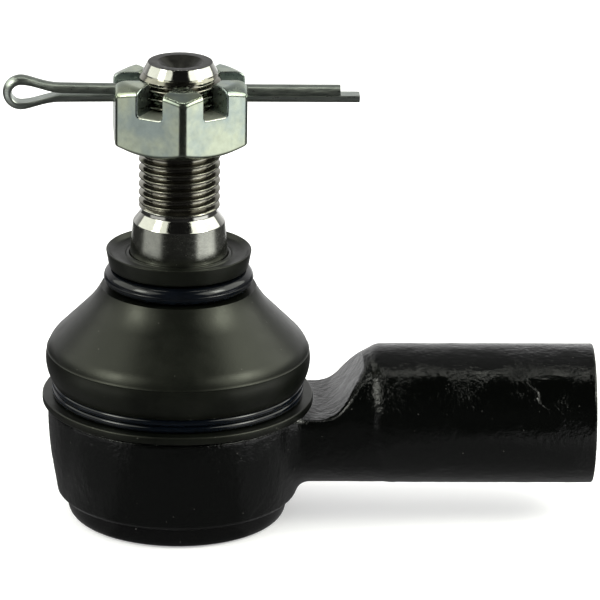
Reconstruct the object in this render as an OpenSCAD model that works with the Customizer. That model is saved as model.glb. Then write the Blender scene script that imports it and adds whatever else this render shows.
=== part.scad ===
// Tie rod end: a female-thread forged housing with a preloaded ball stud, its dust boot,
// the boot's two retaining rings, a slotted nut and the cotter pin that locks it.
//
// Frame: Z is the stud's axis, X runs along the threaded shank, and the origin is the centre of
// the housing's bottom rim. The ball's centre lies on the shank's axis.

/* [Housing] */
// Diameter of the round socket body
socket_d = 38; // [36:0.5:40]
// Diameter of the socket body at its drafted lower edge
socket_low_d = 35; // [34:0.5:35.5]
// Height of the flat shoulder that the boot sits on
shoulder_z = 17.5; // [17:0.1:18]
// Height of the shank's axis and of the ball's centre
axis_z = 15.5; // [15.3:0.1:15.7]
// Outer diameter of the shank
shank_d = 20.5; // [19:0.5:22]
// Distance from the stud's axis to the shank's end
shank_end_x = 61; // [58:1:80]
// Width across the neck's two flats
neck_w = 18.8; // [17:0.2:19.5]
// Diameter of the neck's rounded top and bottom
neck_round_d = 19.7; // [18.8:0.1:20]

/* [Shank thread] */
// Minor diameter of the M14 x 1.5 internal thread
shank_minor_d = 12.38; // [12:0.01:12.6]
// Length of the threaded wall
shank_thread_len = 26; // [20:1:28]

/* [Ball stud] */
// Diameter of the ball
ball_d = 22; // [21:0.5:22]
// Diameter of the neck above the ball
neck_d = 11; // [10:0.5:11]
// Major diameter of the M12 x 1.25 stud thread
thread_d = 11.85; // [11.8:0.01:11.97]
// Pitch of the stud thread
thread_pitch = 1.25; // [1.25:0.25:1.5]
// Diameter of the taper at its small end
taper_small_d = 13.4; // [13:0.1:13.6]
// Length of taper over which its diameter grows by one unit
taper_ratio = 6; // [6:1:10]
// Height of the stud's tip
stud_top_z = 69.2; // [69:0.1:70]
// Diameter of the cross hole for the cotter pin
cross_hole_d = 3.2; // [3:0.1:3.4]

/* [Nut] */
// Width across the nut's flats
nut_af = 19; // [18:0.5:19]
// Height of the nut
nut_h = 10; // [9.5:0.5:10]
// Height of the nut's bearing face
nut_z = 57; // [56:0.5:57]
// Width of a slot
slot_w = 4; // [3.5:0.1:4.2]
// Depth of a slot below the nut's top
slot_depth = 4; // [3.8:0.1:4.2]
// Turn of the nut on the stud, in degrees
nut_turn = 2; // [-2:1:2]

/* [Cotter pin] */
// Diameter of the two half-round legs together
pin_d = 2.5; // [2.3:0.1:2.8]
// Outer height of the eye
eye_h = 5.2; // [5:0.1:5.6]
// Leftmost point of the eye
eye_left_x = -25.5; // [-26:0.5:-25]
// Where the two legs meet, behind the eye
legs_meet_x = -17.5; // [-18:0.1:-17]
// End of the short upper leg
short_leg_x = 23.1; // [20:0.1:24]
// End of the long lower leg
long_leg_x = 25.9; // [25:0.1:30]

/* [Dust boot] */
// Outer diameter of the boot's bottom flange
flange_d = 39.7; // [39:0.1:40]
// Largest diameter of the bulge
bulge_d = 38.7; // [38:0.1:39]
// Height of the bulge's largest diameter
bulge_z = 24.3; // [24:0.1:24.6]
// Diameter of the thin top lip
lip_d = 21.2; // [21:0.1:21.6]
// Height of the top lip's edge
lip_z = 40.9; // [40.5:0.1:41]
// Thickness of the rubber wall
wall_t = 1.6; // [1.2:0.1:1.8]

/* [Boot rings] */
// Section diameter of the top ring
top_ring_wire = 2.5; // [2.3:0.1:2.5]
// Height of the top ring's centre
top_ring_z = 36.75; // [36.7:0.05:36.8]
// Outer diameter of the top ring
top_ring_d = 21.8; // [21.6:0.1:22]
// Wire diameter of the two-turn clip ring
clip_wire = 1.06; // [1:0.01:1.08]
// Outer diameter of the clip ring
clip_d = 36.9; // [36.8:0.1:37]

/* [Hidden] */
$fn = 96;
eps = 0.01;

// Ball socket: running clearance, seat thickness and the planes that bound the seats
run_fit = 0.05;
seat_t = 1.25;
ball_r = ball_d / 2;
seat_r = ball_r + run_fit + seat_t;
seat_split = 0.4;
seat_top_z = axis_z + 5.8;
seat_floor_z = 3.5;
ball_flat_z = axis_z - ball_r + 0.4;

// Housing: rolled bottom rim, cover recess and the collar that carries the boot's bead
rim_r = 16.1;
rim_roll = 1.5;
rim_h = 3.35;
edge_chamfer = 0.4;
draft_top_z = 12.2;
collar_r = 16.3;
collar_top_z = 22.5;
shoulder_round = 0.5;
cover_r = 13.6;
cover_t = 1.6;
cover_z = 1;
rim_hole_r = 12.4;

// Neck: flat top level, how far its round lies below the shank's axis, rise to the shank, and
// the bore's mouth and drill point
neck_top_z = 17.4;
neck_drop = 0.35;
rise_start_x = 21.3;
rise_end_x = 28.1;
shank_start_x = 29.5;
mouth_chamfer = 1;
drill_cone_h = 3.6;
end_chamfer = 0.5;

// Stud: thread form, taper and neck heights
thread_r = thread_d / 2;
thread_depth = 0.6134 * thread_pitch;
first_crest_z = 48.6;
crest_count = 16;
taper_small_z = 45.2;
taper_low_z = 34;
neck_top_stud_z = 29.5;
relief_r = 5.55;
relief_z = 47.2;
flare_z = 46.7;
tip_chamfer = [0.75, 1.3];
dimple_r = 3.25;
dimple_depth = 1.6;
pin_z = 64.5;

// Gap between the cotter pin's legs
leg_gap = 0.04;

function taper_r(z) = taper_small_d / 2 + (taper_small_z - z) / (2 * taper_ratio);

// Points along an arc of radius r about c, from angle a0 to angle a1
function arc(c, r, a0, a1, n = 10) =
    [for (i = [0 : n]) let (a = a0 + (a1 - a0) * i / n) [c[0] + r * cos(a), c[1] + r * sin(a)]];

// Outline of the ring-shaped thread crests from number `first` to `last`, radially grown by `grow`
function thread_outline(first, last, grow = 0) =
    [for (i = [first : last], k = [[-3 / 8, 1], [-1 / 16, 0], [1 / 16, 0], [3 / 8, 1]])
        [thread_r - k[1] * thread_depth + grow, first_crest_z + (i + k[0]) * thread_pitch]];

module ring(outer_r, wire_r, z) {
    translate([0, 0, z])
        rotate_extrude()
            translate([outer_r - wire_r, 0]) circle(r = wire_r, $fn = 32);
}

// ---- Housing ----

module socket_body() {
    rotate_extrude()
        polygon(concat(
            [[0, 0], [rim_r - rim_roll, 0]],
            arc([rim_r - rim_roll, rim_roll], rim_roll, -90, 0, 6),
            [[rim_r, rim_h],
             [socket_low_d / 2 - edge_chamfer, rim_h],
             [socket_low_d / 2, rim_h + edge_chamfer],
             [socket_d / 2, draft_top_z]],
            arc([socket_d / 2 - shoulder_round, shoulder_z - shoulder_round], shoulder_round, 0, 90, 4),
            [[collar_r, shoulder_z],
             [collar_r, collar_top_z - shoulder_round],
             [collar_r - shoulder_round, collar_top_z],
             [0, collar_top_z]]));
}

// Side view of the neck: level top, a rise to the shank, and a web under the socket's edge
module neck_outline() {
    shank_top = axis_z + shank_d / 2;
    shank_bottom = axis_z - shank_d / 2;
    polygon(concat(
        [[10, rim_h], [16.4, rim_h], [18.5, shank_bottom - 0.5], [21.5, shank_bottom],
         [shank_start_x, shank_bottom], [shank_start_x, shank_top], [rise_end_x, shank_top - 0.6]],
        arc([rise_start_x, neck_top_z + 2.5], 2.5, -38, -90, 6),
        [[10, neck_top_z]]));
}

module neck() {
    intersection() {
        rotate([90, 0, 0])
            linear_extrude(neck_w, center = true) neck_outline();
        translate([0, 0, axis_z - neck_drop])
            rotate([0, 90, 0]) cylinder(d = neck_round_d, h = shank_start_x);
    }
}

module shank() {
    x0 = shank_start_x;
    step = 1.5;
    translate([x0 - step, 0, axis_z])
        rotate([0, 90, 0]) cylinder(d1 = neck_w, d2 = shank_d, h = step);
    translate([x0 - eps, 0, axis_z])
        rotate([0, 90, 0]) cylinder(d = shank_d, h = shank_end_x - end_chamfer - x0 + eps);
    translate([shank_end_x - end_chamfer, 0, axis_z])
        rotate([0, 90, 0]) cylinder(d1 = shank_d, d2 = shank_d - 2 * end_chamfer, h = end_chamfer);
}

module shank_bore() {
    bore_r = shank_minor_d / 2;
    wall_end_x = shank_end_x - mouth_chamfer;
    translate([wall_end_x - shank_thread_len, 0, axis_z])
        rotate([0, 90, 0]) {
            cylinder(r = bore_r, h = shank_thread_len);
            translate([0, 0, -drill_cone_h]) cylinder(r1 = 0, r2 = bore_r, h = drill_cone_h);
            translate([0, 0, shank_thread_len])
                cylinder(r1 = bore_r, r2 = bore_r + mouth_chamfer, h = mouth_chamfer);
        }
}

module socket_cavity() {
    translate([0, 0, -eps]) cylinder(r = rim_hole_r, h = cover_z + 2 * eps);
    translate([0, 0, cover_z]) cylinder(r = cover_r, h = cover_t);
    translate([0, 0, cover_z + cover_t - eps])
        cylinder(r = seat_r, h = axis_z - cover_z - cover_t + eps);
    intersection() {
        translate([0, 0, axis_z]) sphere(r = seat_r);
        translate([0, 0, axis_z]) cylinder(r = seat_r + 1, h = seat_r);
    }
}

module housing() {
    color("#17181b")
        difference() {
            union() {
                socket_body();
                neck();
                shank();
            }
            socket_cavity();
            shank_bore();
        }
}

// Stamped plate with a raised centre, held by the rolled rim
module end_cover() {
    pan_r = 8;
    pan_h = 0.6;
    color("#2a2c2e")
        rotate_extrude()
            polygon([[0, cover_z + pan_h], [pan_r - 1, cover_z + pan_h], [pan_r, cover_z],
                     [cover_r, cover_z], [cover_r, cover_z + cover_t], [0, cover_z + cover_t]]);
}

// ---- Sealed inside the socket ----

module lower_seat() {
    color("ivory")
        difference() {
            translate([0, 0, seat_floor_z])
                cylinder(r = seat_r, h = axis_z - seat_split - seat_floor_z);
            translate([0, 0, axis_z]) sphere(r = ball_r + run_fit);
            translate([0, 0, seat_floor_z - eps]) cylinder(r = 3, h = 2);
        }
}

module upper_seat() {
    color("ivory")
        difference() {
            intersection() {
                translate([0, 0, axis_z]) sphere(r = seat_r);
                translate([0, 0, axis_z + seat_split])
                    cylinder(r = seat_r + 1, h = seat_top_z - axis_z - seat_split);
            }
            translate([0, 0, axis_z]) sphere(r = ball_r + run_fit);
        }
}

// Dished spring washer that presses the lower seat against the ball
module seat_spring() {
    outer_r = 11.5;
    inner_r = 5;
    sheet_t = 0.5;
    base_z = cover_z + cover_t;
    rise = seat_floor_z - base_z - sheet_t;
    color("dimgray")
        rotate_extrude()
            polygon([[outer_r, base_z], [outer_r, base_z + sheet_t],
                     [inner_r, base_z + rise + sheet_t], [inner_r, base_z + rise]]);
}

// ---- Ball stud ----

module stud_shaft() {
    ball_join_z = axis_z + 8.5;
    rotate_extrude()
        polygon(concat(
            [[0, ball_join_z], [neck_d / 2, ball_join_z], [neck_d / 2, neck_top_stud_z]],
            [[taper_r(taper_low_z) - 0.6, taper_low_z - 0.8], [taper_r(taper_low_z), taper_low_z],
             [taper_small_d / 2, taper_small_z],
             [relief_r, flare_z], [relief_r, relief_z]],
            thread_outline(0, crest_count - 1),
            [[thread_r - tip_chamfer[0], stud_top_z - tip_chamfer[1]],
             [thread_r - 0.5, stud_top_z - tip_chamfer[1]],
             [thread_r - 0.5 - tip_chamfer[0], stud_top_z],
             [dimple_r, stud_top_z], [0.6, stud_top_z - dimple_depth], [0, stud_top_z - dimple_depth]]));
}

module ball_stud() {
    color("#8c8a85")
        difference() {
            union() {
                translate([0, 0, axis_z]) sphere(r = ball_r);
                stud_shaft();
            }
            translate([0, 0, ball_flat_z - ball_r]) cylinder(r = ball_r, h = ball_r);
            translate([0, 0, pin_z])
                rotate([0, 90, 0]) cylinder(d = cross_hole_d, h = 2 * thread_d, center = true);
        }
}

// ---- Dust boot and its rings ----

clip_seat_r = clip_d / 2 - clip_wire - 0.05;
flange_z = shoulder_z + 0.1;
flange_t = 1.2;
flange_round = 0.3;
clip_top_z = flange_z + flange_t + 2 * clip_wire + 0.06;
ring_seat_r = top_ring_d / 2 - top_ring_wire - 0.05;
ring_low_z = top_ring_z - top_ring_wire / 2;
ring_high_z = top_ring_z + top_ring_wire / 2;
bulge_r = bulge_d / 2;
low_round = 6;
high_round = 4.7;
hollow_round = 14;
stud_gap = 0.08;

// The cone leaves the bulge at 45 degrees and hollows out towards the ring seat
cone_start = [bulge_r - high_round * (1 - cos(45)), bulge_z + high_round * sin(45)];
hollow_start = [cone_start[0] - 4.1, cone_start[1] + 4.1];
hollow_c = [hollow_start[0] + hollow_round * cos(45), hollow_start[1] + hollow_round * sin(45)];
hollow_end = 180 + asin((hollow_c[1] - ring_low_z + 0.2) / hollow_round);
low_start = -asin((bulge_z - clip_top_z) / low_round);

// Outside of the boot from the flange to the ring seat, drawn `t` inside the rubber
function boot_side(t) = concat(
    arc([bulge_r - low_round, bulge_z], low_round - t, low_start, 0),
    arc([bulge_r - high_round, bulge_z], high_round - t, 4, 45),
    arc(hollow_c, hollow_round + t, 225, hollow_end));

function reversed(list) = [for (i = [len(list) - 1 : -1 : 0]) list[i]];

module dust_boot() {
    flange_r = flange_d / 2;
    bead_r = collar_r + 0.1;
    lip_r = lip_d / 2;
    inner = [for (p = reversed(boot_side(wall_t)))
        if (p[1] > collar_top_z + 0.4 && p[0] > taper_r(p[1]) + 1.5) p];
    color("#20221f")
        rotate_extrude()
            polygon(concat(
                [[bead_r, flange_z]],
                arc([flange_r - flange_round, flange_z + flange_round], flange_round, -90, 0, 3),
                arc([flange_r - flange_round, flange_z + flange_t - flange_round], flange_round, 0, 90, 3),
                [[clip_seat_r, flange_z + flange_t], [clip_seat_r, clip_top_z]],
                boot_side(0),
                [[ring_seat_r, ring_low_z - 0.1], [ring_seat_r, ring_high_z + 0.1],
                 [lip_r - 0.45, ring_high_z + 0.3], [lip_r, lip_z - 0.1], [lip_r - 0.15, lip_z],
                 [lip_r - 1.7, lip_z - 1.5], [taper_r(lip_z) + 1, lip_z - 0.6],
                 [taper_r(lip_z) + 0.5, lip_z - 0.3],
                 [taper_r(lip_z - 0.6) + stud_gap, lip_z - 0.6],
                 [taper_r(ring_low_z) + stud_gap, ring_low_z],
                 [taper_r(ring_low_z) + 0.5, ring_low_z - 0.9]],
                inner,
                [[bead_r, collar_top_z + 0.1]]));
}

module boot_top_ring() {
    color("#12161d") ring(top_ring_d / 2, top_ring_wire / 2, top_ring_z);
}

// Two turns of wire that lie on each other around the boot's bead
module boot_clip_ring() {
    first_z = flange_z + flange_t + clip_wire / 2 + 0.02;
    color("#12161d")
        for (turn = [0, 1])
            ring(clip_d / 2, clip_wire / 2, first_z + turn * (clip_wire - 0.02));
}

// ---- Fasteners ----

// Hexagon with its corners turned down at 30 degrees, above and below
module nut_blank() {
    face_r = 0.92 * nut_af / 2;
    wide_r = face_r + nut_h / tan(30);
    intersection() {
        rotate([0, 0, nut_turn - 90])
            cylinder(r = nut_af / 2 / cos(30), h = nut_h, $fn = 6);
        cylinder(r1 = face_r, r2 = wide_r, h = nut_h);
        cylinder(r1 = wide_r, r2 = face_r, h = nut_h);
    }
}

// Threaded below the slots, plain at the thread's major diameter at the mouth and between the towers
module nut_bore() {
    thread_gap = 0.06;
    plain_r = thread_r + thread_gap;
    first = ceil((nut_z - first_crest_z) / thread_pitch);
    last = floor((nut_z + nut_h - slot_depth - first_crest_z) / thread_pitch);
    outline = thread_outline(first, last, thread_gap);
    inner = [for (i = [2 : len(outline) - 3]) outline[i]];
    rotate_extrude()
        polygon(concat([[0, nut_z - 1], [plain_r, nut_z - 1]], inner,
                       [[plain_r, nut_z + nut_h + 1], [0, nut_z + nut_h + 1]]));
}

module castle_nut() {
    color("#b7c0b1")
        difference() {
            translate([0, 0, nut_z]) nut_blank();
            nut_bore();
            for (face = [0, 60, 120])
                translate([0, 0, nut_z + nut_h - slot_depth])
                    rotate([0, 0, nut_turn + face])
                        translate([-nut_af, -slot_w / 2, 0]) cube([2 * nut_af, slot_w, nut_h]);
        }
}

// The wire's flat face follows a line (the upper leg), an arc of bend_r that leaves it, the eye's arc
// of eye_r, and the same back along the lower leg. Each is tangent to the next.
eye_r = eye_h / 2 - pin_d / 2;
eye_x = eye_left_x + eye_h / 2;
eye_run = legs_meet_x - eye_x;
bend_r = (eye_run * eye_run + leg_gap * leg_gap / 4 - eye_r * eye_r) / (2 * eye_r - leg_gap);
bend_a = atan2(eye_run, bend_r + leg_gap / 2);

// Points [x, z] of the flat face's line above the pin's axis, each with its outward angle
upper_path = concat(
    [for (x = [short_leg_x, legs_meet_x]) [x, leg_gap / 2, 90]],
    [for (i = [1 : 6]) let (a = 270 - bend_a * i / 6)
        [legs_meet_x + bend_r * cos(a), leg_gap / 2 + bend_r + bend_r * sin(a), a - 180]],
    [for (i = [1 : 14]) let (a = 90 - bend_a + (90 + bend_a) * i / 14)
        [eye_x + eye_r * cos(a), eye_r * sin(a), a]]);
lower_path = [for (i = [len(upper_path) - 2 : -1 : 0]) let (p = upper_path[i])
    [i == 0 ? long_leg_x : p[0], -p[1], -p[2]]];
pin_path = concat(upper_path, lower_path);

// Half-round section: [distance out from the flat face, distance across the pin]
pin_section = [for (i = [0 : 12]) let (a = 180 * i / 12) [sin(a) * pin_d / 2, cos(a) * pin_d / 2]];

module cotter_pin() {
    rings = len(pin_path);
    sides = len(pin_section);
    points = [for (p = pin_path, s = pin_section)
        [p[0] + s[0] * cos(p[2]), s[1], p[1] + s[0] * sin(p[2])]];
    walls = [for (r = [0 : rings - 2], k = [0 : sides - 1]) let (n = (k + 1) % sides)
        [r * sides + k, r * sides + n, (r + 1) * sides + n, (r + 1) * sides + k]];
    ends = [[for (k = [sides - 1 : -1 : 0]) k], [for (k = [0 : sides - 1]) (rings - 1) * sides + k]];
    color("#a3aba8")
        translate([0, 0, pin_z]) polyhedron(points = points, faces = concat(walls, ends), convexity = 6);
}

housing();
end_cover();
lower_seat();
upper_seat();
seat_spring();
ball_stud();
dust_boot();
boot_top_ring();
boot_clip_ring();
castle_nut();
cotter_pin();
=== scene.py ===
# Tie rod end: the visible pieces, their materials, the studio and the camera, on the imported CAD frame.
# Lengths are in millimetres until a mesh is made.
import math

import bmesh
import bpy
import numpy as np
from mathutils import Matrix, Vector, noise


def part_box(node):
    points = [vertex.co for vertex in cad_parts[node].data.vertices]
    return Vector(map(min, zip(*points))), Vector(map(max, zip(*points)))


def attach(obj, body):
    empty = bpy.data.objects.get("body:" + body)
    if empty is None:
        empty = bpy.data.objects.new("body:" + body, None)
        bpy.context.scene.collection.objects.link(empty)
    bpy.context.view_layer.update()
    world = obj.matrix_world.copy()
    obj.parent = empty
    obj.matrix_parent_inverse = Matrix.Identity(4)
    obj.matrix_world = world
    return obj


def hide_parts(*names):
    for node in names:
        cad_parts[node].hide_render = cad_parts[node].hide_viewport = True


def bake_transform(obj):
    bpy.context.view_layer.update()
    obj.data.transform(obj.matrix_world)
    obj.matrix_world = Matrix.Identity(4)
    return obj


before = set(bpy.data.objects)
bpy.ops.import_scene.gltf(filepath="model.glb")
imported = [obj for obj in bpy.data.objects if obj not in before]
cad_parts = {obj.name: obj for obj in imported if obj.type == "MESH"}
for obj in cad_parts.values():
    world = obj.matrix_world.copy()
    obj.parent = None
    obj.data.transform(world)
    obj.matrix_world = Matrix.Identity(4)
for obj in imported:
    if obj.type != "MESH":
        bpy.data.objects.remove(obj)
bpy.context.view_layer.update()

MM = 0.001


def box_mm(node):
    low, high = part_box(node)
    return np.array(low) / MM, np.array(high) / MM


# ---- Driving sizes, from the frame ----

housing_low, housing_high = box_mm("housing")
nut_low, nut_high = box_mm("castle_nut")
pin_low, pin_high = box_mm("cotter_pin")
top_ring_low, top_ring_high = box_mm("boot_top_ring")
clip_low, clip_high = box_mm("boot_clip_ring")
boot_high = box_mm("dust_boot")[1]
stud_high = box_mm("ball_stud")[1]

SOCKET_R = -housing_low[0]
SHANK_END = housing_high[0]
SHANK_R = 10.25
AXIS_Z = housing_high[2] - SHANK_R
SHOULDER_Z = 17.5
BALL_R = 11.0

THREAD_R = 5.925
THREAD_PITCH = 1.25
THREAD_DEPTH = 0.6134 * THREAD_PITCH
FIRST_CREST_Z = 48.6
STUD_TOP = stud_high[2]
TAPER_TOP_Z = 45.2
TAPER_TOP_R = 6.7
PIN_Z = 64.5


def taper_r(z):
    """Radius of the stud's taper, which is 1 in 6 on the diameter."""
    return TAPER_TOP_R + (TAPER_TOP_Z - z) / 12


def thread_phase(z, turn):
    """The stud's helix, in turns: a crest passes the front at FIRST_CREST_Z."""
    return (z - FIRST_CREST_Z) / THREAD_PITCH - (turn + math.pi / 2) / (2 * math.pi)


# ---- Outlines ----


def arc(x, y, r, start, end, n=10):
    """Points of an arc about (x, y), from one angle to another in degrees."""
    turn = np.radians(np.linspace(start, end, n + 1))
    return [(x + r * math.cos(t), y + r * math.sin(t)) for t in turn]


def rounded(points, radius, n=4):
    """The open outline with a curve in place of each inner corner, at most `radius` long each side."""
    points = [np.array(p, float) for p in points]
    result = [points[0]]
    for before, here, after in zip(points, points[1:], points[2:]):
        to_before, to_after = before - here, after - here
        reach_before, reach_after = np.linalg.norm(to_before), np.linalg.norm(to_after)
        cut = min(radius, 0.45 * reach_before, 0.45 * reach_after)
        first = here + to_before * cut / reach_before
        last = here + to_after * cut / reach_after
        for t in np.linspace(0, 1, n + 1):
            result.append((1 - t) ** 2 * first + 2 * t * (1 - t) * here + t**2 * last)
    return result + [points[-1]]


def filled(points, step):
    """The outline with extra points, so that none of its edges is longer than `step`."""
    result = []
    for a, b in zip(points, points[1:]):
        a, b = np.array(a, float), np.array(b, float)
        parts = max(1, math.ceil(np.linalg.norm(b - a) / step))
        result += [a + (b - a) * k / parts for k in range(parts)]
    return result + [np.array(points[-1], float)]


def groove(phase):
    """Depth of a thread with rounded flanks, by its phase in turns: 0 on the crest, 1 in the root."""
    half_crest, flank_width = 0.03, 0.38
    off = np.abs(phase - np.round(phase))
    flank = np.clip((off - half_crest) / flank_width, 0, 1)
    return flank * flank * (3 - 2 * flank)


# ---- Distance fields: negative inside ----


def soft_max(a, b, k):
    """The larger of two fields, blended where they differ by less than k."""
    h = np.maximum(k - np.abs(a - b), 0) / k
    return np.maximum(a, b) + h * h * k / 4


def soft_min(a, b, k):
    return -soft_max(-a, -b, k)


def sampled(field, low, cell, counts, block=8):
    """Field values on a grid, worked out only in the blocks that the surface can reach."""
    blocks = -(-counts // block)
    centres = [low[i] + (np.arange(blocks[i]) * block + block / 2) * cell for i in range(3)]
    value = field(*np.meshgrid(*centres, indexing="ij"))
    near = np.argwhere(np.abs(value) < 1.8 * block * cell) * block
    for axis in range(3):
        value = np.repeat(value, block, axis)
    i, j, k = (near[:, a].reshape(-1, 1, 1, 1) for a in range(3))
    step = np.arange(block)
    i, j, k = i + step.reshape(-1, 1, 1), j + step.reshape(-1, 1), k + step
    value[i, j, k] = field(low[0] + i * cell, low[1] + j * cell, low[2] + k * cell)
    return value


def slope_of(field, points, reach):
    """The field's gradient at each point, as unit vectors."""
    here = field(*points.T)
    slope = np.stack([field(*(points + d).T) - here for d in reach * np.eye(3)], 1)
    return slope / np.maximum(np.linalg.norm(slope, axis=1, keepdims=True), 1e-9)


def crossed_edges(value):
    """The grid edges that the surface crosses: the four cells around each, and the crossing points."""
    stride = np.array([value.shape[1] * value.shape[2], value.shape[2], 1])
    unit = np.eye(3, dtype=int)
    quads, crossings = [], []
    for axis in range(3):
        ahead = np.roll(value, -1, axis)
        edge = np.argwhere((value < 0) != (ahead < 0))
        a, b = value[tuple(edge.T)], ahead[tuple(edge.T)]
        u, w = unit[(axis + 1) % 3], unit[(axis + 2) % 3]
        around = [(edge - s * u - t * w) @ stride for s, t in ((0, 0), (1, 0), (1, 1), (0, 1))]
        quad = np.stack(around, 1)
        quad[a > 0] = quad[a > 0][:, ::-1]
        quads.append(quad)
        crossings.append(edge + unit[axis] * (a / (a - b))[:, None])
    return np.concatenate(quads), np.concatenate(crossings)


def settled(owner, crossings, normals):
    """A point for each cell, where the planes through its crossings meet; owner is each corner's cell."""
    hold, furthest = 0.03, 0.8
    source = np.repeat(np.arange(len(crossings)), 4)

    def gathered(amounts):
        return np.bincount(owner, weights=amounts[source])

    number = gathered(np.ones(len(crossings)))
    middle = np.stack([gathered(crossings[:, i]) / number for i in range(3)], 1)
    square = np.array([[gathered(normals[:, i] * normals[:, j]) for j in range(3)] for i in range(3)])
    square = np.moveaxis(square, 2, 0)
    reach = (normals * crossings).sum(1)
    target = np.stack([gathered(normals[:, i] * reach) for i in range(3)], 1)
    target -= np.einsum("nij,nj->ni", square, middle)
    square = square + hold * number[:, None, None] * np.eye(3)
    shift = np.linalg.solve(square, target[:, :, None])[:, :, 0]
    length = np.maximum(np.linalg.norm(shift, axis=1, keepdims=True), 1e-9)
    return middle + shift * np.minimum(1, furthest / length)


def contoured(field, low, high, cell):
    """Dual contour of a field: points and quads of its surface, with its edges kept sharp."""
    counts = np.ceil((high - low) / cell).astype(int) + 1
    quads, crossings = crossed_edges(sampled(field, low, cell, counts))
    normals = slope_of(field, low + crossings * cell, 0.02 * cell)
    _, quads = np.unique(quads, return_inverse=True)
    quads = quads.reshape(-1, 4)
    return low + settled(quads.ravel(), crossings, normals) * cell, quads


# ---- Meshes ----


def add_mesh(name, points, faces, materials, marks=None, sharp=38):
    """A smooth-shaded object; marks gives each face's material."""
    mesh = bpy.data.meshes.new(name)
    mesh.from_pydata(np.asarray(points) * MM, [], faces)
    for item in materials:
        mesh.materials.append(item)
    if marks is not None:
        mesh.polygons.foreach_set("material_index", np.asarray(marks, np.int32))
    mesh.polygons.foreach_set("use_smooth", np.ones(len(mesh.polygons), bool))
    mesh.set_sharp_from_angle(angle=math.radians(sharp))
    mesh.update()
    piece = bpy.data.objects.new(name, mesh)
    bpy.context.scene.collection.objects.link(piece)
    return piece


def weld(piece):
    """Merges points that fall together, as an outline's end does on the axis."""
    work = bmesh.new()
    work.from_mesh(piece.data)
    bmesh.ops.remove_doubles(work, verts=work.verts, dist=1e-7)
    bmesh.ops.dissolve_degenerate(work, edges=work.edges, dist=1e-7)
    work.to_mesh(piece.data)
    work.free()


def lathe(name, outline, materials, mark=None, around=192, closed=False, shape=None):
    """An outline of (r, z) turned about Z; mark(r, z) picks a row's material, shape bends its radius."""
    r, z = np.array(outline, float).T
    rows = len(r)
    turn = np.arange(around) * 2 * math.pi / around
    radius = np.repeat(r[:, None], around, 1)
    height = np.repeat(z[:, None], around, 1)
    if shape:
        radius = shape(radius, height, turn)
    points = np.stack([radius * np.cos(turn), radius * np.sin(turn), height], 2).reshape(-1, 3)
    i, k = np.meshgrid(np.arange(rows if closed else rows - 1), np.arange(around), indexing="ij")
    j, n = (i + 1) % rows, (k + 1) % around
    faces = np.stack([i * around + k, i * around + n, j * around + n, j * around + k], 2).reshape(-1, 4)
    marks = None
    if mark:
        marks = [mark((r[a] + r[b]) / 2, (z[a] + z[b]) / 2) for a, b in zip(i[:, 0], j[:, 0])]
        marks = np.repeat(marks, around)
    piece = add_mesh(name, points, faces, materials, marks)
    if not closed:
        weld(piece)
    return piece


def swept(name, path, across, up, section, materials):
    """A closed section carried along a path. across and up are its two directions at each path point."""
    path, across, up = (np.array(a, float)[:, None, :] for a in (path, across, up))
    section = np.array(section, float)
    points = (path + across * section[:, :1] + up * section[:, 1:]).reshape(-1, 3)
    sides = len(section)
    i, k = np.meshgrid(np.arange(len(path) - 1), np.arange(sides), indexing="ij")
    n = (k + 1) % sides
    walls = np.stack([i * sides + k, i * sides + n, (i + 1) * sides + n, (i + 1) * sides + k], 2)
    faces = walls.reshape(-1, 4).tolist()
    faces += [list(range(sides))[::-1], [(len(path) - 1) * sides + s for s in range(sides)]]
    return add_mesh(name, points, faces, materials)


# ---- Housing ----

RIM_R = 16.1
RIM_TOP = 3.35
SKIRT_LOW_R = 17.5
DRAFT_TOP_Z = 12.2
COLLAR_R = 16.3
COLLAR_TOP = 22.5
NECK_HALF = 9.4
NECK_TOP = 17.4
RISE_X = 22.6
RISE_ALONG, RISE_UP = 0.817, 0.576  # the rise's unit normal, along X and Z
NECK_ROUND_R = 9.85
NECK_DROP = 0.35
SHANK_X = 27.8
CONE_ALONG, CONE_OUT = 0.47, 0.88  # the shank's shoulder cone: its normal, along X and outwards
BORE_R = 6.19
BORE_PITCH = 1.5
BORE_DEPTH = 0.81
BORE_FLOOR_X = 34.0
COVER_R = 13.6
COVER_LOW = 1.0
COVER_TOP = 2.6
COVER_HOLE_R = 12.4
CAVITY_R = 12.3
MOUTH_R = 9.6
MOUTH_Z = 20.5


def socket_field(r, z):
    """The socket's outside: the rolled rim, the drafted skirt and the boot's collar."""
    slope = (SOCKET_R - SKIRT_LOW_R) / (DRAFT_TOP_Z - RIM_TOP)
    rim = soft_max(soft_max(r - RIM_R, -z, 2.2), z - 10, 0.1)
    draft = (r - SKIRT_LOW_R - (z - RIM_TOP) * slope) * 0.98
    side = soft_max(draft, r - SOCKET_R, 0.6)
    edge = np.maximum(RIM_TOP - z, (r - z - (SKIRT_LOW_R - RIM_TOP - 0.6)) * 0.7)
    skirt = soft_max(np.maximum(side, edge), z - SHOULDER_Z, 0.8)
    collar = soft_max(np.maximum(r - COLLAR_R, 10 - z), z - COLLAR_TOP, 0.8)
    return np.minimum(np.minimum(rim, skirt), collar)


def neck_field(x, y, z):
    """The flat-topped bar between the socket and the shank, with its rise up to the shank."""
    rise = (z - NECK_TOP) * RISE_UP - (x - RISE_X) * RISE_ALONG
    top = soft_min(z - NECK_TOP, rise, 2.0)
    bar = soft_max(np.hypot(y, z - AXIS_Z + NECK_DROP) - NECK_ROUND_R, top, 1.0)
    bar = soft_max(bar, np.abs(y) - NECK_HALF, 1.2)
    return np.maximum(np.maximum(bar, 8 - x), x - SHANK_X - 4)


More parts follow.
